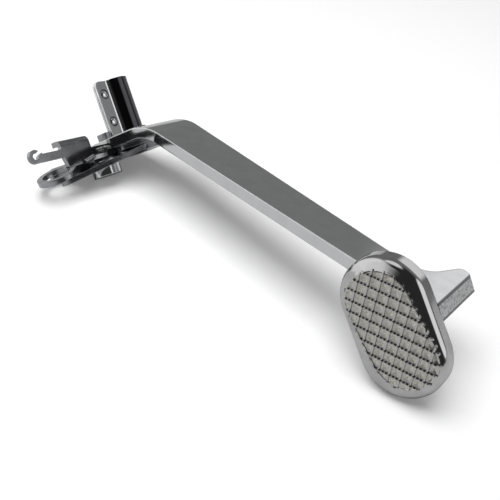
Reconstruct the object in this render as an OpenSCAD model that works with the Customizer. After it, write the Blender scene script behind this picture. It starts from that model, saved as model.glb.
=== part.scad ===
// Rear brake pedal of chrome-plated pressed steel, for the right-hand side, as it stands when fitted.
// X runs forward from the pivot to the foot pad, Y is the pivot axis and points inboard, and Z is up.
// The origin is on the pivot axis, level with the inboard face of the arm.

/* [Arm] */
// Thickness of the flat arm
arm_t = 6.2; // [5:0.1:8]
// Height of the arm's upper edge over the pivot axis
arm_up = 17.8; // [16:0.1:22]
// Depth of the arm's lower edge under the pivot axis
arm_low = 16; // [14:0.1:20]
// Distance from the pivot back to the middle of the rounded rear end
rear_back = 12; // [8:0.5:20]
// Angle by which the arm is bent outboard
bend_angle = 37.4; // [25:0.1:45]
// Distance from the pivot forward to the corner of the bend
bend_x = 27.1; // [24:0.1:35]
// Radius of the bend on the inboard face
bend_r = 32; // [20:1:36]
// Distance from the pivot forward to the square end of the arm
arm_end_x = 183.7; // [178:0.1:190]
// Rise of the upper edge for each millimetre along the arm
up_slope = 0.18; // [0.14:0.005:0.19]
// Rise of the lower edge for each millimetre along the arm
low_slope = 0.245; // [0.2:0.005:0.26]
// Height of the lowest point of the arm's foot over the pivot axis
foot_z = 4; // [1:0.1:7]
// Distance from the arm's end back to the middle of the foot's rounded tip
foot_in = 3.4; // [3.2:0.1:6]
// Radius of the foot's rounded tip
foot_r = 3.2; // [2.4:0.1:3.6]
// Angle between the foot's inner edge and upright
foot_lean = 24; // [15:1:30]
// Radius of the hollow between the foot and the arm's lower edge
foot_hollow = 12; // [8:0.5:20]

/* [Foot pad] */
// Length of the oval pad
pad_l = 65.4; // [56:0.5:75]
// Width of the oval pad
pad_w = 40.6; // [37:0.2:45]
// Height of the pad from its open underside to its face
pad_h = 10.2; // [8.5:0.1:12]
// Thickness of the pressed sheet
pad_sheet = 2.2; // [1.5:0.1:3]
// Outer radius of the pad's shoulder
pad_round = 4.7; // [3.4:0.1:6]
// Distance from the arm's square end back to the middle of the pad
pad_back = 20.3; // [18:0.1:22.5]
// Distance from the bent arm's inboard face straight outboard to the middle of the pad
pad_side = 21.3; // [19:0.1:23.5]
// Height of the pad's open underside over the pivot axis
pad_z = 45; // [43.5:0.1:49]
// Angle between the pad's long axis and the pivot axis
pad_turn = 3; // [0:0.1:12]
// Width of the oval field of ribs
field_w = 32.4; // [28:0.2:33]
// Length of the oval field of ribs
field_l = 56.4; // [50:0.2:57]
// Angle by which the field is turned on the pad
field_turn = 7.8; // [0:0.1:9]
// Distance of the field's middle from the pad's middle, across the pad
field_shift = 0.9; // [0:0.1:1.2]
// Distance from rib to rib
rib_pitch = 5; // [4:0.25:7]
// Width of a rib at its top
rib_w = 0.7; // [0.5:0.1:1.2]
// Height of a rib
rib_h = 0.6; // [0.4:0.1:1]

/* [Pivot sleeve] */
// Outer diameter of the rolled sleeve
sleeve_d = 15.2; // [14.4:0.1:17]
// Diameter of the pivot bore
bore_d = 12; // [10:0.1:13]
// Length of the sleeve over the arm's inboard face
sleeve_l = 33; // [28:0.5:45]
// Distance from the pivot axis to the edge of the closing flange
flange_z = 17; // [15:0.1:20]
// Radius of the flange's free corner
flange_corner = 3.5; // [2:0.1:5]
// Radius of the fold between the sleeve and its flange
fold_r = 1.8; // [1:0.1:2.2]
// Diameter of the spot welds in the flange
spot_d = 4; // [3:0.1:5]
// Distance from the arm to the first spot weld
spot_from = 8.6; // [6:0.1:10]
// Distance from the first spot weld to the second
spot_gap = 16.6; // [12:0.1:18]

/* [Spring bracket] */
// Thickness of the bracket's sheet
sheet_t = 3; // [2:0.1:3.2]
// Distance from the pivot back to the front face of the web
web_back = 10; // [9:0.1:12]
// Height of the web's lower edge over the pivot axis
web_low = 25.5; // [24:0.1:27]
// Height of the web's upper edge over the pivot axis
web_top = 46.5; // [44:0.5:49]
// Distance from the arm's inboard face outboard to the web's edge at the hook
web_out = 10.5; // [9.4:0.1:11]
// Level of the lip's inner face over the arm's inboard face
lip_in = 3.2; // [2:0.1:5]
// Distance from the web's front face back to the lip's edge
lip_l = 7.5; // [6:0.1:10]
// Inner radius of the fold between web and lip
lip_fold = 1; // [0.6:0.1:1.8]
// Width of the foot by which the bracket stands on the arm
bracket_foot = 4.6; // [3.5:0.1:5.5]
// Radius of the spring hook
hook_r = 3.8; // [3.2:0.1:4.6]
// Diameter of the spring hook's eye
hook_eye_d = 3.8; // [3:0.1:4.6]
// Height of the spring hook's middle over the pivot axis
hook_z = 65; // [64:0.1:70]

/* [Rod lever] */
// Thickness of the rod lever
lever_t = 3; // [2.5:0.1:3.4]
// Diameter of the lever's round end at the sleeve
lever_d = 31; // [30:0.5:35]
// Distance from the pivot back to the middle of the lever's neck
neck_back = 22; // [21.5:0.1:24]
// Width of the lever's neck
neck_w = 15; // [12:0.5:16]
// Distance from the pivot back to the middle of the ring eye
eye_back = 22; // [20:0.5:25]
// Height of the ring eye's middle over the pivot axis, before the lever is bent
eye_z = 46.5; // [44:0.5:49]
// Outer diameter of the ring eye
eye_d = 24; // [22:0.5:24.5]
// Diameter of the hole in the ring eye
eye_hole_d = 17; // [12:0.1:18]
// Angle by which the ring eye is bent outboard
eye_lean = 20.5; // [10:0.5:25]
// Angle between the bend in the lever and the level
eye_slant = 36; // [25:1:45]
// Thickness of the doubler on the lever's outboard face
doubler_t = 3.2; // [2.5:0.1:4]
// Distance from the pivot back to the middle of the doubler's upper end
doubler_back = 20; // [17:0.5:22]
// Height of the middle of the doubler's upper end over the pivot axis
doubler_z = 41; // [38:0.5:42]
// Width of the doubler's upper end
doubler_w = 23; // [20:0.5:24]
// Distance from the pivot back to the middle of the boss
boss_back = 10; // [9:0.5:12]
// Height of the boss's middle over the pivot axis
boss_z = 20; // [19:0.5:22]
// Diameter of the boss
boss_d = 17; // [14:0.5:18]
// Length of the boss over the doubler
boss_l = 8; // [6:0.1:9]

/* [Welds] */
// Leg of the weld round the sleeve
weld_leg = 2.4; // [1.5:0.1:3]
// Angle round the sleeve that the weld covers
weld_span = 250; // [200:5:300]

/* [Hidden] */
$fn = 96;
quarter = 90;
half_turn = 180;
run = 1;
reach = 400;
hair = 0.01;
lap = 0.5;
fold_l = 27;
seam_w = 0.3;
seam_depth = 0.5;
spot_depth = 0.35;
block_w = 7.6;
block_h = 3.6;
block_t = 4;
block_gap = 1.6;
seat_rise = 6;
rib_root = 1;
bead_r = 1.6;
bead_l = 6;
mouth_w = 2.2;
mouth_turn = 60;
tongue_w = 0.8;
neck_low = 27;

bore_r = bore_d / 2;
sleeve_r = sleeve_d / 2;
flange_t = sleeve_r - bore_r;
stack_t = arm_t + lever_t + doubler_t;
rear_r = (arm_up + arm_low) / 2;
rear_z = (arm_up - arm_low) / 2;
bend_run = bend_r * tan(bend_angle / 2);
end_l = (arm_end_x - bend_x) / cos(bend_angle);
pad_r = pad_w / 2;
pad_half = (pad_l - pad_w) / 2;
lever_lap = lever_t * tan(eye_lean / 2) + seam_w;
pad_x = arm_end_x - pad_back;
pad_dx = pad_x - bend_x;
pad_out = pad_dx * tan(bend_angle) + pad_side;
pad_mid_l = pad_dx * cos(bend_angle) + pad_out * sin(bend_angle);

// Places a plate drawn in X and Z so that its thickness runs outboard from the given level
module plate(level, thick)
    translate([0, level, 0]) rotate([quarter, 0, 0]) linear_extrude(thick) children();

// Draws a round of the given diameter at a place in X and Z
module round_at(x, z, d)
    translate([x, z]) circle(d = d);

// Draws a flat link between two rounds, with straight sides that touch both
module link(x1, z1, r1, x2, z2, r2) {
    far = norm([x2 - x1, z2 - z1]);
    aim = atan2(z2 - z1, x2 - x1);
    lean = acos((r1 - r2) / far);
    in1 = r1 - hair;
    in2 = r2 - hair;
    round_at(x1, z1, 2 * r1);
    round_at(x2, z2, 2 * r2);
    polygon([
        [x1 + in1 * cos(aim + lean), z1 + in1 * sin(aim + lean)],
        [x2 + in2 * cos(aim + lean), z2 + in2 * sin(aim + lean)],
        [x2 + in2 * cos(aim - lean), z2 + in2 * sin(aim - lean)],
        [x1 + in1 * cos(aim - lean), z1 + in1 * sin(aim - lean)]
    ]);
}

// Cuts the pivot hole outline
module pivot_hole()
    circle(d = sleeve_d);

// Heights of the arm's two edges at a distance from the bend's corner
function up_at(l) = arm_up + up_slope * (l - bend_run);
function low_at(l) = -arm_low + low_slope * (l - bend_run);

// Side view of the pivot plate, rounded at the rear and open toward the foot
module arm_rear_outline()
    difference() {
        union() {
            round_at(-rear_back, rear_z, 2 * (rear_r + hair));
            translate([-rear_back, -reach]) square([reach, 2 * reach]);
        }
        pivot_hole();
    }

// Side view of the arm along its outer length, with the foot that drops behind the pad
module arm_outer_outline() {
    seat_from = pad_mid_l - pad_r;
    low_turn = atan(low_slope);
    tip_l = end_l - foot_in;
    tip_z = foot_z + foot_r;
    // Point of the foot's inner edge level with the tip's middle, and its meeting with the lower edge
    edge_l = tip_l - foot_r / cos(foot_lean);
    meet_l = (edge_l + tan(foot_lean) * (tip_z - low_at(0))) / (1 + tan(foot_lean) * low_slope);
    // Corner's half angle and the middle of the hollow's circle
    half = (quarter + foot_lean - low_turn) / 2;
    ease = foot_hollow / tan(half);
    round_out = foot_r + run;
    difference() {
        polygon([
            [-reach, -arm_low],
            [-reach, arm_up],
            [bend_run + lap, arm_up],
            [seat_from - seat_rise, up_at(seat_from - seat_rise)],
            [seat_from, pad_z],
            [end_l + arm_t, pad_z],
            [end_l + arm_t, foot_z],
            [edge_l + foot_r * tan(foot_lean), foot_z],
            [meet_l + ease * sin(foot_lean), low_at(meet_l) - ease * cos(foot_lean)],
            [meet_l - ease * cos(low_turn), low_at(meet_l) - ease * sin(low_turn)],
            [bend_run + lap, -arm_low]
        ]);
        // Waste outside the tip's rounded corner
        translate([tip_l, tip_z]) difference() {
            polygon([
                [0, 0],
                [0, -round_out],
                [-round_out, -round_out],
                [-round_out * cos(foot_lean), -round_out * sin(foot_lean)]
            ]);
            circle(foot_r);
        }
        translate([meet_l - ease * cos(low_turn), low_at(meet_l) - ease * sin(low_turn)])
            rotate(low_turn) translate([0, -foot_hollow]) circle(foot_hollow);
    }
}

module arm()
    color("silver") difference() {
        intersection() {
            translate([0, 0, -arm_low - run]) linear_extrude(arm_low + pad_z + 2 * run) arm_plan();
            plate(reach, 2 * reach) arm_rear_outline();
            translate([bend_x, 0, 0]) rotate([0, 0, -bend_angle])
                plate(reach, 2 * reach) arm_outer_outline();
        }
        plate(0, reach) end_cut();
    }

// The arm seen from above: a flat bar bent outboard round an upright axis
module arm_plan() {
    far = 2 * bend_r;
    rear_l = rear_back + rear_r + run;
    translate([-rear_l, -arm_t]) square([rear_l + bend_x - bend_run + lap, arm_t]);
    // The bend is a hair thicker than the bar, so that no two edges lie on each other
    translate([bend_x - bend_run, -bend_r]) difference() {
        intersection() {
            circle(bend_r + hair);
            polygon([[0, 0], [0, far], [far * sin(bend_angle), far * cos(bend_angle)]]);
        }
        circle(bend_r - arm_t - hair);
    }
    translate([bend_x, 0]) rotate(-bend_angle) translate([bend_run - lap, -arm_t]) square([end_l, arm_t]);
}

// Cuts the arm off square at its end, with the foot's lower corner rounded
module end_cut()
    difference() {
        translate([arm_end_x - foot_r, foot_z - run]) square([reach, arm_low + pad_z + reach]);
        translate([arm_end_x - foot_r, foot_z + foot_r]) circle(foot_r);
        translate([arm_end_x - foot_r - run, foot_z + foot_r]) square([foot_r + run, reach + reach]);
    }

// Draws half of the pad's section from its middle outward: a block with a rounded shoulder
module shoulder(r, h, corner) {
    square([r - corner, h]);
    square([r, h - corner]);
    translate([r - corner, h - corner]) circle(corner);
}

module pad_section()
    difference() {
        intersection() {
            shoulder(pad_r, pad_h, pad_round);
            square([pad_r, pad_h]);
        }
        translate([-run, -run]) square([run, pad_h + 2 * run]);
        intersection() {
            shoulder(pad_r - pad_sheet, pad_h - pad_sheet, pad_round - pad_sheet);
            square([pad_r, pad_h]);
        }
        translate([0, -run]) square([pad_r - pad_sheet, 2 * run]);
    }

module at_pad()
    translate([pad_x, -pad_out, pad_z]) rotate([0, 0, pad_turn - quarter]) children();

module foot_pad()
    color("gainsboro") at_pad() {
        for (side = [-1, 1])
            translate([side * pad_half, 0, 0]) rotate([0, 0, -side * quarter])
                rotate_extrude(angle = half_turn) pad_section();
        translate([-pad_half, 0, 0]) rotate([quarter, 0, quarter]) linear_extrude(2 * pad_half) {
            pad_section();
            mirror([1, 0]) pad_section();
        }
        ribs();
    }

// Outline of the ribbed field
module field() {
    field_half = (field_l - field_w) / 2;
    for (side = [-1, 1])
        round_at(side * field_half, 0, field_w);
    translate([-field_half, -field_w / 2]) square([2 * field_half, field_w]);
}

// Raised ribs cross at right angles, at 45 degrees to the field
module ribs() {
    count = ceil(field_l / 2 / rib_pitch);
    translate([0, field_shift, pad_h - rib_root]) rotate([0, 0, field_turn])
        linear_extrude(rib_root + rib_h) intersection() {
            field();
            union()
                for (turn = [-quarter / 2, quarter / 2], i = [-count:count])
                    rotate(turn) translate([-field_l / 2, i * rib_pitch - rib_w / 2])
                        square([field_l, rib_w]);
        }
}

// Section of the sleeve and its flange, with X forward and Z up
module sleeve_section() {
    fold_x = flange_t + fold_r;
    fold_z = sqrt(pow(sleeve_r + fold_r, 2) - pow(fold_x, 2));
    difference() {
        union() {
            circle(sleeve_r);
            translate([-flange_t, 0]) square([2 * flange_t, flange_z]);
            for (side = [-1, 1])
                difference() {
                    polygon([[0, 0], [side * fold_x, fold_z], [0, fold_z]]);
                    round_at(side * fold_x, fold_z, 2 * fold_r);
                }
        }
        circle(bore_r);
    }
}

// Cuts away the flange's free corner, which is rounded
module flange_corner_cut()
    translate([-reach / 2, 0, 0]) rotate([quarter, 0, quarter]) linear_extrude(reach)
        translate([sleeve_l - flange_corner, flange_z - flange_corner]) difference() {
            square(flange_corner + run);
            circle(flange_corner);
        }

module pivot_sleeve()
    color("dimgray") difference() {
        union() {
            plate(sleeve_l, sleeve_l) sleeve_section();
            plate(0, stack_t) difference() {
                circle(sleeve_r);
                circle(bore_r);
            }
        }
        flange_corner_cut();
        translate([-seam_w / 2, 0, flange_z - seam_depth])
            cube([seam_w, sleeve_l + run, seam_depth + run]);
        translate([-seam_w / 2, sleeve_l - seam_depth, bore_r + seam_depth])
            cube([seam_w, seam_depth + run, flange_z]);
        for (y = [spot_from, spot_from + spot_gap])
            spot_cut(y);
    }

// A shallow round dimple where the two layers of the flange are welded together
module spot_cut(y) {
    ball_r = (pow(spot_d / 2, 2) + pow(spot_depth, 2)) / (2 * spot_depth);
    translate([flange_t - spot_depth + ball_r, y, (sleeve_r + flange_z) / 2]) sphere(ball_r);
}

// The web is cut to stand against the inboard face of the bent lever
module spring_bracket()
    color("slategray") difference() {
        translate([-web_back, 0, 0]) bracket_sheet();
        past_bend() plate(-arm_t, reach) lean_side(0, reach / 2);
    }

module bracket_sheet() {
    fold_out = lip_fold + sheet_t;
    translate([-lip_l, lip_in, web_low + fold_out])
        cube([lip_l - fold_out, sheet_t, web_top - web_low - fold_out]);
    translate([-fold_out, lip_in - lip_fold, web_low]) linear_extrude(web_top - web_low) difference() {
        intersection() {
            circle(fold_out);
            square(fold_out);
        }
        circle(lip_fold);
    }
    translate([-sheet_t, 0, 0]) rotate([quarter, 0, quarter]) linear_extrude(sheet_t) web_outline();
}

// Web, foot, tongue and hook, drawn with the way inboard to the right and the height upward
module web_outline() {
    web_in = lip_in - lip_fold;
    difference() {
        union() {
            polygon([
                [-arm_t - lever_t, web_low],
                [web_in, web_low],
                [web_in, web_top],
                [tongue_w, web_top + tongue_w],
                [tongue_w, hook_z - hook_r],
                [-hook_r, hook_z - hook_r],
                [-hook_r, web_top],
                [-web_out, web_top - sheet_t / 2]
            ]);
            translate([-arm_t, arm_up]) square([bracket_foot, web_low - arm_up + run]);
            translate([0, hook_z]) circle(hook_r);
            translate([-hook_r, hook_z - hook_r - run]) square([2 * hook_r - run, hook_r + run]);
        }
        translate([0, hook_z]) circle(d = hook_eye_d);
        translate([0, hook_z]) rotate(-mouth_turn) translate([0, -mouth_w / 2])
            square([2 * hook_r, mouth_w]);
    }
}

module stop_block()
    color("darkgray") translate([-flange_t - block_gap - block_w, 0, arm_up - block_h])
        cube([block_w, block_t, block_h]);

// Places children, drawn for the flat lever, in the part of it that leans outboard past the bend
module past_bend() {
    fold_x = -eye_back - eye_d / 2 * sin(eye_slant);
    fold_z = eye_z - eye_d / 2 * cos(eye_slant);
    translate([fold_x, -arm_t - lever_t, fold_z]) rotate([0, eye_slant, 0]) rotate([eye_lean, 0, 0])
        rotate([0, -eye_slant, 0]) translate([-fold_x, arm_t + lever_t, -fold_z]) children();
}

// The part of the drawing plane that leans, from a little before the bend line and as far along it as given
module lean_side(past, along) {
    fold_x = -eye_back - eye_d / 2 * sin(eye_slant);
    fold_z = eye_z - eye_d / 2 * cos(eye_slant);
    translate([fold_x, fold_z]) rotate(-eye_slant)
        translate([-reach / 2, -past]) square([reach / 2 + along, reach]);
}

module lever_outline()
    difference() {
        union() {
            circle(d = lever_d);
            link(-rear_back, 0, neck_w / 2, -neck_back, neck_low, neck_w / 2);
            link(-neck_back, neck_low, neck_w / 2, -eye_back, eye_z, eye_d / 2);
        }
        pivot_hole();
        round_at(-eye_back, eye_z, eye_hole_d);
    }

module doubler_outline()
    difference() {
        link(0, 0, lever_d / 2, -doubler_back, doubler_z, doubler_w / 2);
        pivot_hole();
        round_at(-eye_back, eye_z, eye_hole_d);
    }

// A flat plate of the given thickness, bent outboard at the lever's bend
module bent_plate(level, thick, past, along) {
    plate(level, thick) difference() {
        children();
        lean_side(-past, along);
    }
    past_bend() plate(level, thick) intersection() {
        children();
        lean_side(past, along);
    }
}

// Both halves of the lever run on past the bend's hinge line until they meet at its outer corner
module rod_lever()
    color("darkgray") difference() {
        bent_plate(-arm_t, lever_t, lever_lap, fold_l) lever_outline();
        translate([-reach / 2, -arm_t, -reach / 2]) cube(reach);
    }

module lever_doubler()
    color("gray") bent_plate(-arm_t - lever_t, doubler_t, -hair, reach / 2) doubler_outline();

module lever_boss()
    color("silver") difference() {
        plate(-stack_t, boss_l) round_at(-boss_back, boss_z, boss_d);
        past_bend() plate(-arm_t, lever_t + doubler_t) doubler_outline();
    }

// A hollow fillet weld round the sleeve's foot, open at the flange
module sleeve_weld()
    color("gainsboro") rotate([-quarter, 0, 0]) rotate([0, 0, quarter - weld_span / 2])
        rotate_extrude(angle = weld_span) difference() {
            translate([sleeve_r, 0]) square(weld_leg);
            translate([sleeve_r + weld_leg, weld_leg]) circle(weld_leg);
        }

// A bead of weld up the front of the bracket's foot, from the arm's upper edge
module bracket_weld()
    color("gainsboro") intersection() {
        translate([-web_back, bead_r - arm_t, arm_up]) {
            cylinder(bead_l, r = bead_r);
            translate([0, 0, bead_l]) sphere(bead_r);
        }
        translate([-web_back, -reach / 2, arm_up]) cube(reach);
    }

arm();
foot_pad();
pivot_sleeve();
spring_bracket();
stop_block();
rod_lever();
lever_doubler();
lever_boss();
sleeve_weld();
bracket_weld();
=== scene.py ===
import math

import bmesh
import bpy
from mathutils import Matrix, Vector


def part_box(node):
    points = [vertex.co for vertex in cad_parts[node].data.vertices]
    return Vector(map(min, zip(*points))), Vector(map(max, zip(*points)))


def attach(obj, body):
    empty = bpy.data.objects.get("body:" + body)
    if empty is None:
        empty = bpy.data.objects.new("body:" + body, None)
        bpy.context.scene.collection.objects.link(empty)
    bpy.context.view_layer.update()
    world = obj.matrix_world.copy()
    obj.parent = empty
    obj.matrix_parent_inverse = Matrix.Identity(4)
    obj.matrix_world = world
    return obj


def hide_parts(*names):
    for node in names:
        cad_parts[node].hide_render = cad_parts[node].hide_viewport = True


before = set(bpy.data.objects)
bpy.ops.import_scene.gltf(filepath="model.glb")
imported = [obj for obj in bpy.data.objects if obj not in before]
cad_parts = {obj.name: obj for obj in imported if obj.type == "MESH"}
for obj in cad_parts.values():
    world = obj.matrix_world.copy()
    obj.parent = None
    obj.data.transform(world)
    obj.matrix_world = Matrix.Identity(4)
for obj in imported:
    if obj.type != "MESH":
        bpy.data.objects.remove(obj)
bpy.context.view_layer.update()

# Camera
# It looks down on the pedal's inboard side from over the foot pad, as in the photograph.
# Its three directions and its place are written in the pedal's own frame, in metres.
camera_right = Vector((0.752438, -0.313176, -0.579446))
camera_up = Vector((0.174735, 0.943120, -0.282831))
camera_back = Vector((0.635063, 0.111563, 0.764362))
camera_place = Vector((0.315976, -0.041378, 0.308825))
sensor_mm = 36.0
focal_pixels = 711.54
picture_pixels = 500.0
nearest_seen = 0.01
camera_data = bpy.data.cameras.new("camera")
camera_data.sensor_width = sensor_mm
camera_data.lens = sensor_mm * focal_pixels / picture_pixels
camera_data.clip_start = nearest_seen
camera = bpy.data.objects.new("camera", camera_data)
bpy.context.scene.collection.objects.link(camera)
turned = Matrix((camera_right, camera_up, camera_back)).transposed()
camera.matrix_world = Matrix.Translation(camera_place) @ turned.to_4x4()
bpy.context.scene.camera = camera
bpy.context.scene.view_settings.view_transform = "Standard"


# Floor
# A white table top. The pedal lies on its outboard side in the photograph, so in the pedal's own
# frame the table leans. Seen from under it lets the view through, so it hides the pedal from nowhere.
floor_up = Vector((0.5743, 0.7809, 0.2457)).normalized()
floor_level = -0.0221
floor_half = 0.45
floor_under = Vector((0.11, -0.08, 0.0))
floor_white = "f2f2f2"
floor_in_chrome = "c6c6c6"
floor_glow = 0.15


def mix_hex(code):
    """A colour written as sRGB hex, as the linear values that a shader reads."""
    parts = [int(code[i:i + 2], 16) / 255.0 for i in (0, 2, 4)]
    return [c / 12.92 if c <= 0.04045 else ((c + 0.055) / 1.055) ** 2.4 for c in parts] + [1.0]


def add_node(tree, kind, links=(), **values):
    """A new node with the given settings and socket values; links pairs its inputs with outputs."""
    node = tree.nodes.new(kind)
    for name, value in values.items():
        if name.startswith("in_"):
            key = name[3:]
            node.inputs[int(key) if key.isdigit() else key.replace("_", " ")].default_value = value
        else:
            setattr(node, name, value)
    for key, output in dict(links).items():
        tree.links.new(output, node.inputs[key])
    return node


def math_of(t, how, *parts):
    """One step of arithmetic on one to three parts; each is a socket or a number."""
    made = add_node(t, "ShaderNodeMath", operation=how)
    for i, part in enumerate(parts):
        if isinstance(part, (int, float)):
            made.inputs[i].default_value = part
        else:
            t.links.new(part, made.inputs[i])
    return made.outputs[0]


def shader_between(t, share, first, second):
    """The first of two shaders where the share is 0, and the second where it is 1."""
    return add_node(t, "ShaderNodeMixShader", {0: share, 1: first, 2: second}).outputs[0]


white = mix_hex("ffffff")
side_one = floor_up.cross(camera_back).normalized()
side_two = floor_up.cross(side_one).normalized()
floor_middle = floor_under + floor_up * (floor_level - floor_up.dot(floor_under))
corners = []
for across, along in ((-1, -1), (1, -1), (1, 1), (-1, 1)):
    corners.append(tuple(floor_middle + (side_one * across + side_two * along) * floor_half))
floor_mesh = bpy.data.meshes.new("floor")
floor_mesh.from_pydata(corners, [], [(0, 1, 2, 3)])
if floor_mesh.polygons[0].normal.dot(floor_up) < 0:
    floor_mesh.flip_normals()
floor = bpy.data.objects.new("floor", floor_mesh)
bpy.context.scene.collection.objects.link(floor)
white_table = bpy.data.materials.new("white_table")
white_table.use_nodes = True
tree = white_table.node_tree
tree.nodes.clear()
rays = add_node(tree, "ShaderNodeLightPath")
glow_level = math_of(tree, "MULTIPLY", rays.outputs["Is Camera Ray"], floor_glow)
paint = add_node(tree, "ShaderNodeBsdfDiffuse", in_Color=mix_hex(floor_white))
glow = add_node(tree, "ShaderNodeEmission", {"Strength": glow_level}, in_Color=white)
lit = add_node(tree, "ShaderNodeAddShader", {0: paint.outputs[0], 1: glow.outputs[0]})
mirrored_paint = add_node(tree, "ShaderNodeBsdfDiffuse", in_Color=mix_hex(floor_in_chrome))
by_gloss = shader_between(tree, rays.outputs["Is Glossy Ray"], lit.outputs[0], mirrored_paint.outputs[0])
clear = add_node(tree, "ShaderNodeBsdfTransparent")
facing = add_node(tree, "ShaderNodeNewGeometry")
one_side = shader_between(tree, facing.outputs["Backfacing"], by_gloss, clear.outputs[0])
add_node(tree, "ShaderNodeOutputMaterial", {"Surface": one_side})
floor_mesh.materials.append(white_table)


# Light
# One wide soft lamp over the table, and even light from all round. What chrome mirrors is a plain
# studio: a dim room, darker behind the camera, with soft-edged bright panels on the right, on the left,
# in a strip ahead of the pad, and at the lamp.
lamp_wide = 1.1
lamp_deep = 0.9
lamp_watts = 13.5
lamp_aim = Vector((0.09, -0.06, 0.02))
lamp_shift = camera_up * 0.05 - camera_right * 0.15
even_level = 0.15
room_level = 0.2
right_way = camera_right * 0.65 + camera_up * 0.65 - camera_back * 0.4
left_way = camera_up * 0.3 - camera_right
strip_way = Vector((0.96, -0.11, -0.25))
lamp_way = floor_up - camera_right * 0.25 + camera_up * 0.35
world = bpy.data.worlds.new("studio")
bpy.context.scene.world = world
world.use_nodes = True
tree = world.node_tree
tree.nodes.clear()
rays = add_node(tree, "ShaderNodeLightPath")
looking = add_node(tree, "ShaderNodeTexCoord")


def studio_band(toward, start, end, level):
    """Light of the given level from where the look's part along a direction passes start to end."""
    part = add_node(tree, "ShaderNodeVectorMath", {0: looking.outputs["Generated"]},
                    operation="DOT_PRODUCT", in_1=tuple(toward.normalized()))
    ramp = add_node(tree, "ShaderNodeMapRange", {"Value": part.outputs["Value"]},
                    interpolation_type="SMOOTHSTEP", in_From_Min=start, in_From_Max=end, in_To_Max=level)
    return ramp.outputs["Result"]


panels = (
    studio_band(right_way, start=0.93, end=0.97, level=0.66),
    studio_band(left_way, start=0.60, end=0.78, level=0.8),
    studio_band(strip_way, start=0.88, end=0.95, level=1.0),
    studio_band(lamp_way, start=0.93, end=0.985, level=1.0),
)
camera_side = studio_band(camera_back, start=0.2, end=0.6, level=0.17)
mirrored = room_level
for panel in panels:
    mirrored = math_of(tree, "ADD", mirrored, panel)
mirrored = math_of(tree, "SUBTRACT", mirrored, camera_side)
mirrored.node.use_clamp = True
even_light = add_node(tree, "ShaderNodeBackground", in_Color=white, in_Strength=even_level)
mirror_light = add_node(tree, "ShaderNodeBackground", {"Strength": mirrored}, in_Color=white)
backdrop = add_node(tree, "ShaderNodeBackground", in_Color=white, in_Strength=1.0)
by_gloss = shader_between(tree, rays.outputs["Is Glossy Ray"], even_light.outputs[0], mirror_light.outputs[0])
by_camera = shader_between(tree, rays.outputs["Is Camera Ray"], by_gloss, backdrop.outputs[0])
add_node(tree, "ShaderNodeOutputWorld", {"Surface": by_camera})

lamp_data = bpy.data.lights.new("soft_lamp", "AREA")
lamp_data.shape = "RECTANGLE"
lamp_data.size = lamp_wide
lamp_data.size_y = lamp_deep
lamp_data.energy = lamp_watts
lamp = bpy.data.objects.new("soft_lamp", lamp_data)
lamp.visible_glossy = False
bpy.context.scene.collection.objects.link(lamp)
lamp_place = lamp_aim + floor_up + lamp_shift
lamp_turn = (lamp_place - lamp_aim).to_track_quat("Z", "Y").to_matrix().to_4x4()
lamp.matrix_world = Matrix.Translation(lamp_place) @ lamp_turn


# Arm and boss
# A flat steel bar, ground and bent, and the round spacer on the lever, both under bright chrome plate.
# The plate is nearly a mirror, with the long faint ripple that grinding along the bar leaves, and the
# arm's end keeps the torn strip of the shears under its plate.
arm_end_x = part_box("arm")[1][0]
arm_end_mid_y = -0.1236
end_skin = 0.0006
end_soft = 0.0003
torn_half_wide = 0.0027
torn_soft = 0.0004
torn_grain_mm = 1.7
torn_rough = 0.22
torn_depth = 0.0010
grind_mm = 6.0
grind_stretch = (0.25, 0.25, 1.0)


def start_material(name):
    """An empty material tree and the place of each point on its piece."""
    made = bpy.data.materials.new(name)
    made.use_nodes = True
    t = made.node_tree
    t.nodes.clear()
    place = add_node(t, "ShaderNodeTexCoord")
    return made, t, place.outputs["Object"]


def noise_of(t, place, lump_mm, detail):
    """Cloudy noise from 0 to 1, in lumps of the given size."""
    noise = add_node(t, "ShaderNodeTexNoise", {"Vector": place}, in_Scale=1000.0 / lump_mm, in_Detail=detail)
    return noise.outputs["Fac"]


def step_of(t, value, start, end):
    """A smooth step from 0 to 1 as the value goes from start to end."""
    step = add_node(t, "ShaderNodeMapRange", {"Value": value}, interpolation_type="SMOOTHSTEP",
                    in_From_Min=start, in_From_Max=end)
    return step.outputs["Result"]


def product_of(t, first, *parts):
    """All the parts multiplied together."""
    for part in parts:
        first = math_of(t, "MULTIPLY", first, part)
    return first


def rest_of(t, share):
    """What a share leaves of 1."""
    return math_of(t, "SUBTRACT", 1.0, share)


def blend_of(t, share, first, second):
    """A colour between two, by a share; each is a socket or sRGB hex."""
    mix = add_node(t, "ShaderNodeMix", {"Factor": share}, data_type="RGBA")
    for key, colour in (("A", first), ("B", second)):
        if isinstance(colour, str):
            mix.inputs[key].default_value = mix_hex(colour)
        else:
            t.links.new(colour, mix.inputs[key])
    return mix.outputs["Result"]


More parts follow.
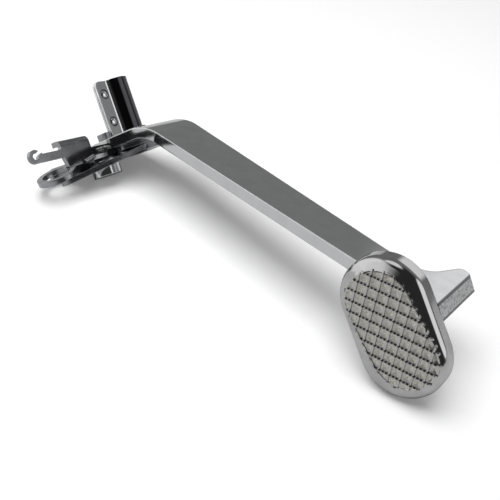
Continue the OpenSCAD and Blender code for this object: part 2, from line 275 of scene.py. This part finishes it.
def chrome_coat(t, place, bright, dull, gloss, haze, round_mm, ripple, ripple_mm, extra=None):
    """Chrome plate: cloudy gloss in patches of some millimetres, rounded edges and a fine ripple.

    The gloss is the roughness of the bright patches, and the haze is what the dull ones add to it.
    """
    patch = step_of(t, noise_of(t, place, lump_mm=9.0, detail=4.0), start=0.35, end=0.75)
    colour = blend_of(t, patch, bright, dull)
    rough = math_of(t, "MULTIPLY_ADD", patch, haze, gloss)
    height = product_of(t, ripple, ripple_mm / 1000.0)
    if extra:
        colour, rough, height = extra(colour, rough, height)
    rounded = add_node(t, "ShaderNodeBevel", in_Radius=round_mm / 1000.0, samples=6)
    bump = add_node(t, "ShaderNodeBump", {"Height": height, "Normal": rounded.outputs[0]}, in_Distance=1.0)
    metal = add_node(t, "ShaderNodeBsdfPrincipled",
                     {"Base Color": colour, "Roughness": rough, "Normal": bump.outputs[0]}, in_Metallic=1.0)
    add_node(t, "ShaderNodeOutputMaterial", {"Surface": metal.outputs[0]})


def finish_node(name, material):
    """Gives a solid of the frame its finish."""
    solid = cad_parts[name]
    solid.data.materials.clear()
    solid.data.materials.append(material)


bar_chrome, t, place = start_material("ground_bar_chrome")
drawn_out = add_node(t, "ShaderNodeMapping", {"Vector": place}, in_Scale=grind_stretch)
ripple = noise_of(t, drawn_out.outputs[0], lump_mm=grind_mm, detail=3.0)
where = add_node(t, "ShaderNodeSeparateXYZ", {0: place})
end_from = arm_end_x - end_skin
at_end = step_of(t, where.outputs["X"], end_from, end_from + end_soft)
off_middle = math_of(t, "ABSOLUTE", math_of(t, "SUBTRACT", where.outputs["Y"], arm_end_mid_y))
margins = step_of(t, off_middle, torn_half_wide, torn_half_wide + torn_soft)
edge_strip = product_of(t, at_end, margins)
torn_strip = math_of(t, "SUBTRACT", at_end, edge_strip)
torn = noise_of(t, place, lump_mm=torn_grain_mm, detail=3.0)


def sheared_end(colour, rough, height):
    """The end's torn middle strip is rough and pale, and its smooth margins are painted dark, a painted
    reflection of the dark room.
    """
    # painted reflection: the smooth margins of the end are painted dark grey
    colour = blend_of(t, edge_strip, colour, "77787a")
    torn_dark = product_of(t, torn_strip, step_of(t, torn, start=0.47, end=0.62))
    colour = blend_of(t, torn_dark, colour, "b2b3b5")
    rough = math_of(t, "ADD", rough, product_of(t, torn_strip, torn_rough))
    pits = product_of(t, torn, torn_strip, torn_depth)
    return colour, rough, math_of(t, "ADD", height, pits)


chrome_coat(t, place, bright="e0e1e2", dull="d9dadb", gloss=0.08, haze=0.03, round_mm=0.9,
            ripple=ripple, ripple_mm=0.004, extra=sheared_end)
for name in ("arm", "lever_boss"):
    finish_node(name, bar_chrome)


# Foot pad
# An oval shell drawn from sheet, with a grid of small ribs pressed up from its face.
# The plate is bright on the rim and on the ribs, and dull grey and speckled in the dished cells between.
# The outline turns a little from the pivot's axis, and the field and its grid turn a little more.
pad_low, pad_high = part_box("foot_pad")
pad_mid = ((pad_low[0] + pad_high[0]) / 2.0, (pad_low[1] + pad_high[1]) / 2.0, 0.0)
pad_turn = math.radians(-87.0)
pad_half_l = 0.0124
shoulder_r = 0.0156
shoulder_in = -0.0012
shoulder_out = 0.0024
shoulder_slope = -0.22
shoulder_ease = 115.0
field_mid = (0.16415, -0.12552, 0.0)
field_turn = math.radians(-79.2)
field_half_l = 0.012
field_r = 0.0152
field_soft = 0.0003
face_from_z = 0.0540
face_to_z = 0.0549
grid_mid = (0.1643, -0.12545, 0.0)
grid_turn = field_turn + math.radians(45.0)
rib_pitch = 0.005
rib_top_z = pad_high[2]
rib_top_skin = 0.0003
rib_side_skin = 0.00045
rib_half_share = 0.08
line_soft = 0.05
shadow_line_width = 0.6
corner_shade_depth = 0.7
beads_per_cell = 3.0
cell_rough = 0.24
cell_dish = -0.0022
speck_mm = 0.7
speck_depth = 0.00006


def laid_along(t, place, middle, turn, unit=1.0):
    """The place in axes that have the given middle and turn, counted in the given unit."""
    laid = add_node(t, "ShaderNodeMapping", {"Vector": place}, vector_type="TEXTURE", in_Location=middle,
                    in_Rotation=(0.0, 0.0, turn), in_Scale=(unit, unit, unit))
    return add_node(t, "ShaderNodeSeparateXYZ", {0: laid.outputs[0]}).outputs


def from_oval_axis(t, at, half_length):
    """The distance from the straight axis of an oval with round ends."""
    beyond = math_of(t, "SUBTRACT", math_of(t, "ABSOLUTE", at["X"]), half_length)
    past_end = math_of(t, "MAXIMUM", beyond, 0.0)
    squares = math_of(t, "ADD", math_of(t, "POWER", past_end, 2.0), math_of(t, "POWER", at["Y"], 2.0))
    return math_of(t, "SQRT", squares)


pad_chrome, t, place = start_material("drawn_shell_chrome")
ripple = noise_of(t, place, lump_mm=5.0, detail=3.0)
speck = noise_of(t, place, lump_mm=speck_mm, detail=4.0)
on_field = laid_along(t, place, field_mid, field_turn)
from_axis = from_oval_axis(t, on_field, field_half_l)
outside = step_of(t, from_axis, field_r - field_soft, field_r + field_soft)
high = step_of(t, on_field["Z"], face_from_z, face_to_z)
on_rib = step_of(t, on_field["Z"], rib_top_z - rib_side_skin, rib_top_z - rib_top_skin)
in_field = product_of(t, rest_of(t, outside), high)
in_cell = product_of(t, rest_of(t, outside), rest_of(t, on_rib), high)
on_grid = laid_along(t, place, grid_mid, grid_turn, rib_pitch)
to_rib_one = math_of(t, "PINGPONG", on_grid["X"], 0.5)
to_rib_two = math_of(t, "PINGPONG", on_grid["Y"], 0.5)
to_rib = math_of(t, "MINIMUM", to_rib_one, to_rib_two)
line_end = rib_half_share + line_soft
near_one = rest_of(t, step_of(t, to_rib_one, rib_half_share, line_end))
near_two = rest_of(t, step_of(t, to_rib_two, rib_half_share * shadow_line_width, line_end))
bead_wave = math_of(t, "SINE", product_of(t, on_grid["X"], 2.0 * math.pi * beads_per_cell))
beads = step_of(t, bead_wave, start=-1.3, end=0.1)
# painted shadow: dark lines in beads over one family of ribs and beside them
painted_shadow_line = product_of(t, near_two, beads, in_field)
# painted shade: darker bands in the cells along the other family of ribs
painted_corner_shade = product_of(t, near_one, in_cell, corner_shade_depth)
on_pad = laid_along(t, place, pad_mid, pad_turn)
past_shoulder = math_of(t, "SUBTRACT", from_oval_axis(t, on_pad, pad_half_l), shoulder_r)
up_shoulder = math_of(t, "MINIMUM", math_of(t, "MAXIMUM", past_shoulder, shoulder_in), shoulder_out)


def pressed_field(colour, rough, height):
    """Dull, speckled, dished cells with painted shade in their corners and painted shadow lines along the
    ribs, and a face that falls off to the rim round them.
    """
    dust = blend_of(t, step_of(t, speck, start=0.35, end=0.65), "bcbab3", "dddbd4")
    colour = blend_of(t, in_cell, colour, dust)
    # painted shade in the cells' corners beside the ribs
    colour = blend_of(t, painted_corner_shade, colour, "6c6b68")
    # painted shadow lines in beads along one family of ribs
    colour = blend_of(t, painted_shadow_line, colour, "242424")
    rough = math_of(t, "ADD", rough, product_of(t, in_cell, cell_rough))
    dish = product_of(t, math_of(t, "POWER", to_rib, 2.0), cell_dish)
    grit = product_of(t, speck, speck_depth)
    inside = product_of(t, math_of(t, "ADD", dish, grit), in_cell)
    fall = product_of(t, up_shoulder, shoulder_slope)
    ease = product_of(t, up_shoulder, up_shoulder, shoulder_ease)
    crown = product_of(t, math_of(t, "ADD", fall, ease), outside)
    return colour, rough, math_of(t, "ADD", height, math_of(t, "ADD", inside, crown))


chrome_coat(t, place, bright="cdcdcd", dull="b9b9b9", gloss=0.07, haze=0.05, round_mm=0.35,
            ripple=ripple, ripple_mm=0.012, extra=pressed_field)
finish_node("foot_pad", pad_chrome)


# Sleeve
# Sheet rolled to a tube, with both edges folded out to one flange and spot-welded. The tube below the fold is
# painted nearly black, a painted dark reflection, and the flange and the fold keep the bright plate.
flange_fold_z = 0.0072
fold_soft = 0.0006
flange_front_soft = 0.0005
flange_face_x = 0.0015
spot_from = 0.0086
spot_gap = 0.0166
spot_ys = (spot_from, spot_from + spot_gap)
spot_z = 0.0123
spot_r = 0.0023
spot_rise = 0.0009
shade_ring_from = 0.0024
shade_ring_to = 0.0034
tube_chrome, t, place = start_material("rolled_tube_chrome")
ripple = noise_of(t, place, lump_mm=3.0, detail=3.0)
where = add_node(t, "ShaderNodeSeparateXYZ", {0: place})
# painted reflection: the tube below the fold is painted nearly black
tube_painted_dark = rest_of(t, step_of(t, where.outputs["Z"], flange_fold_z - fold_soft, flange_fold_z))
front_face = step_of(t, where.outputs["X"], 0.0, flange_front_soft)
# painted shade: a darker ring round each spot weld on the flange's front
spot_shade_rings = 0.0
for spot_y in spot_ys:
    apart = add_node(t, "ShaderNodeCombineXYZ",
                     {1: math_of(t, "SUBTRACT", where.outputs["Y"], spot_y),
                      2: math_of(t, "SUBTRACT", where.outputs["Z"], spot_z)})
    far = add_node(t, "ShaderNodeVectorMath", {0: apart.outputs[0]}, operation="LENGTH")
    ring = rest_of(t, step_of(t, far.outputs["Value"], shade_ring_from, shade_ring_to))
    spot_shade_rings = math_of(t, "MAXIMUM", ring, spot_shade_rings)


def rolled_tube(colour, rough, height):
    """The tube is painted dark below its fold as a painted reflection, and a ring of painted shade goes round
    each spot weld.
    """
    colour = blend_of(t, tube_painted_dark, colour, "4c4c50")
    colour = blend_of(t, product_of(t, spot_shade_rings, front_face), colour, "4a4a4b")
    return colour, rough, height


chrome_coat(t, place, bright="f2f3f4", dull="dedfe2", gloss=0.10, haze=0.06, round_mm=0.5,
            ripple=ripple, ripple_mm=0.012, extra=rolled_tube)
finish_node("pivot_sleeve", tube_chrome)


def piece_from(name, mesh, material):
    """A new piece of the welded pedal, with its place in its mesh, that takes the given finish."""
    piece = bpy.data.objects.new(name, mesh)
    bpy.context.scene.collection.objects.link(piece)
    shape = bmesh.new()
    shape.from_mesh(mesh)
    bmesh.ops.remove_doubles(shape, verts=shape.verts, dist=0.000001)
    bmesh.ops.recalc_face_normals(shape, faces=shape.faces)
    shape.to_mesh(mesh)
    shape.free()
    mesh.materials.clear()
    mesh.materials.append(material)
    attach(piece, "root")
    return piece


def start_tree(name, sizes):
    """An empty tree that grows a piece on points or edges, with a named input for each size."""
    tree = bpy.data.node_groups.new(name, "GeometryNodeTree")
    tree.interface.new_socket("Geometry", in_out="INPUT", socket_type="NodeSocketGeometry")
    for size in sizes:
        tree.interface.new_socket(size, in_out="INPUT", socket_type="NodeSocketFloat")
    tree.interface.new_socket("Material", in_out="INPUT", socket_type="NodeSocketMaterial")
    tree.interface.new_socket("Geometry", in_out="OUTPUT", socket_type="NodeSocketGeometry")
    return tree, tree.nodes.new("NodeGroupInput"), tree.nodes.new("NodeGroupOutput")


def finish_tree(tree, made, given, result):
    """Ends a tree: the copies are made real, their faces are smoothed and their material is set."""
    real = add_node(tree, "GeometryNodeRealizeInstances", {"Geometry": made})
    smooth = add_node(tree, "GeometryNodeSetShadeSmooth", {"Geometry": real.outputs[0]})
    dressed = add_node(tree, "GeometryNodeSetMaterial",
                       {"Geometry": smooth.outputs[0], "Material": given.outputs["Material"]})
    tree.links.new(dressed.outputs[0], result.inputs["Geometry"])


def grown_mesh(name, points, edges, tree, **values):
    """The plain mesh that a tree makes from points and edges."""
    seed_mesh = bpy.data.meshes.new(name + "_path")
    seed_mesh.from_pydata([tuple(p) for p in points], edges, [])
    seed = bpy.data.objects.new(name + "_path", seed_mesh)
    bpy.context.scene.collection.objects.link(seed)
    grow = seed.modifiers.new("grow", "NODES")
    grow.node_group = tree
    for item in tree.interface.items_tree:
        key = item.name.replace(" ", "_").lower()
        if item.in_out == "INPUT" and key in values:
            grow[item.identifier] = values[key]
    depsgraph = bpy.context.evaluated_depsgraph_get()
    made = bpy.data.meshes.new_from_object(seed.evaluated_get(depsgraph), depsgraph=depsgraph)
    made.name = name
    seed.modifiers.remove(grow)
    bpy.data.objects.remove(seed)
    bpy.data.meshes.remove(seed_mesh)
    return made


spot_tree, given, result = start_tree("spot_welds", ("Radius", "Rise"))
dome = add_node(spot_tree, "GeometryNodeMeshUVSphere", {"Radius": given.outputs["Radius"]},
                in_Segments=28, in_Rings=14)
flat = math_of(spot_tree, "DIVIDE", given.outputs["Rise"], given.outputs["Radius"])
squeeze = add_node(spot_tree, "ShaderNodeCombineXYZ", {0: flat}, in_1=1.0, in_2=1.0)
at_spots = add_node(spot_tree, "GeometryNodeInstanceOnPoints",
                    {"Points": given.outputs["Geometry"], "Instance": dome.outputs["Mesh"],
                     "Scale": squeeze.outputs[0]})
finish_tree(spot_tree, at_spots.outputs[0], given, result)

spot_chrome, t, place = start_material("spot_weld_chrome")
chrome_coat(t, place, bright="eeeeee", dull="dededf", gloss=0.14, haze=0.06, round_mm=0.1,
            ripple=noise_of(t, place, lump_mm=1.2, detail=2.0), ripple_mm=0.03)
spot_places = [(flange_face_x, y, spot_z) for y in spot_ys]
spots = grown_mesh("spot_welds", spot_places, [], spot_tree,
                   radius=spot_r, rise=spot_rise, material=spot_chrome)
piece_from("spot_welds", spots, spot_chrome)


# Bracket and stop
# Folded sheet that carries the spring's hook, and the small block beside the sleeve, plated after welding.
# The plate follows the marks that folding leaves.
sheet_chrome, t, place = start_material("folded_sheet_chrome")
chrome_coat(t, place, bright="adaeb1", dull="8f9094", gloss=0.11, haze=0.07, round_mm=0.5,
            ripple=noise_of(t, place, lump_mm=3.0, detail=3.0), ripple_mm=0.02)
for name in ("spring_bracket", "stop_block"):
    finish_node(name, sheet_chrome)


# Rod lever
# Two blanked plates, one on the other, bent outboard to the ring. Their chrome is painted greyer than the
# arm's, as painted shade, with the rolled grain of the plate under it.
lever_chrome, t, place = start_material("blanked_plate_chrome")
# painted shade: the lever's plate tones are darker than the arm's
chrome_coat(t, place, bright="b0b1b4", dull="96979b", gloss=0.14, haze=0.08, round_mm=0.5,
            ripple=noise_of(t, place, lump_mm=2.5, detail=3.0), ripple_mm=0.02)
for name in ("rod_lever", "lever_doubler"):
    finish_node(name, lever_chrome)


# Welds
# Beads of weld metal that hold the pieces together, plated over. Each was laid in small steps along its
# seam, so its crust is a row of ripples, and here and there a drop stands out.
ripple_pitch = 0.0013
ripple_share = 0.8
crust_mm = 2.4
bead_step = 0.00022
sleeve_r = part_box("pivot_sleeve")[1][0]
boss_low, boss_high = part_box("lever_boss")
boss_r = (boss_high[0] - boss_low[0]) / 2.0
boss_mid_x = boss_low[0] + boss_r
boss_mid_z = boss_low[2] + boss_r
bead_tree, given, result = start_tree("weld_bead", ("Radius", "Ripple pitch", "Ripple height"))
seam = add_node(bead_tree, "GeometryNodeMeshToCurve", {"Mesh": given.outputs["Geometry"]})
fine = add_node(bead_tree, "GeometryNodeResampleCurve", {"Curve": seam.outputs[0]},
                mode="LENGTH", in_Length=bead_step)
along = add_node(bead_tree, "GeometryNodeSplineParameter")
kept = add_node(bead_tree, "GeometryNodeStoreNamedAttribute", {"Geometry": fine.outputs[0]},
                data_type="FLOAT", domain="POINT", in_Name="along")
bead_tree.links.new(along.outputs["Length"], kept.inputs["Value"])
section = add_node(bead_tree, "GeometryNodeCurvePrimitiveCircle", {"Radius": given.outputs["Radius"]},
                   in_Resolution=20)
tube = add_node(bead_tree, "GeometryNodeCurveToMesh",
                {"Curve": kept.outputs[0], "Profile Curve": section.outputs["Curve"]}, in_Fill_Caps=True)
stored = add_node(bead_tree, "GeometryNodeInputNamedAttribute", data_type="FLOAT", in_Name="along")
turns = math_of(bead_tree, "DIVIDE", stored.outputs["Attribute"], given.outputs["Ripple pitch"])
wave = math_of(bead_tree, "PINGPONG", turns, 0.5)
crust = add_node(bead_tree, "ShaderNodeTexNoise", in_Scale=1000.0 / crust_mm, in_Detail=2.0)
step_out = product_of(bead_tree, wave, crust.outputs["Fac"], given.outputs["Ripple height"])
outward = add_node(bead_tree, "GeometryNodeInputNormal")
push = add_node(bead_tree, "ShaderNodeVectorMath", {0: outward.outputs[0], "Scale": step_out},
                operation="SCALE")
pushed = add_node(bead_tree, "GeometryNodeSetPosition",
                  {"Geometry": tube.outputs[0], "Offset": push.outputs[0]})
finish_tree(bead_tree, pushed.outputs[0], given, result)

weld_chrome, t, place = start_material("plated_weld_chrome")
chrome_coat(t, place, bright="dcdcdb", dull="b4b4b4", gloss=0.16, haze=0.08, round_mm=0.2,
            ripple=noise_of(t, place, lump_mm=1.1, detail=3.0), ripple_mm=0.06)
for name in ("sleeve_weld", "bracket_weld"):
    finish_node(name, weld_chrome)


def weld_piece(name, points, radius):
    """A plated bead along the given points."""
    edges = [(i, i + 1) for i in range(len(points) - 1)]
    made = grown_mesh(name, points, edges, bead_tree, radius=radius, ripple_pitch=ripple_pitch,
                      ripple_height=radius * ripple_share, material=weld_chrome)
    return piece_from(name, made, weld_chrome)


def round_seam(mid_x, y, mid_z, radius, start, sweep, steps):
    """Points round an axis that runs along Y, from a start over a sweep, both in degrees."""
    turns = [math.radians(start + sweep * step / steps) for step in range(steps + 1)]
    return [(mid_x + radius * math.cos(turn), y, mid_z + radius * math.sin(turn)) for turn in turns]


sleeve_seam = round_seam(mid_x=0.0, y=0.0004, mid_z=0.0, radius=sleeve_r + 0.0008,
                         start=37.0, sweep=-254.0, steps=100)
sleeve_bead = weld_piece("sleeve_bead", sleeve_seam, radius=0.0015)
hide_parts("sleeve_weld")

foot_seam = [(-0.0098, -0.0046, 0.0182), (-0.0097, -0.0046, 0.0205), (-0.0098, -0.0047, 0.0232)]
foot_bead = weld_piece("bracket_bead", foot_seam, radius=0.0016)
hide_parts("bracket_weld")

web_seam = [(-0.0100, -0.0071, 0.0258), (-0.0101, -0.0082, 0.0300), (-0.0100, -0.0092, 0.0340)]
weld_piece("web_bead", web_seam, radius=0.0013)

boss_seam = round_seam(mid_x=boss_mid_x, y=boss_high[1] - 0.0003, mid_z=boss_mid_z,
                       radius=boss_r + 0.0004, start=-150.0, sweep=210.0, steps=60)
weld_piece("boss_bead", boss_seam, radius=0.0011)
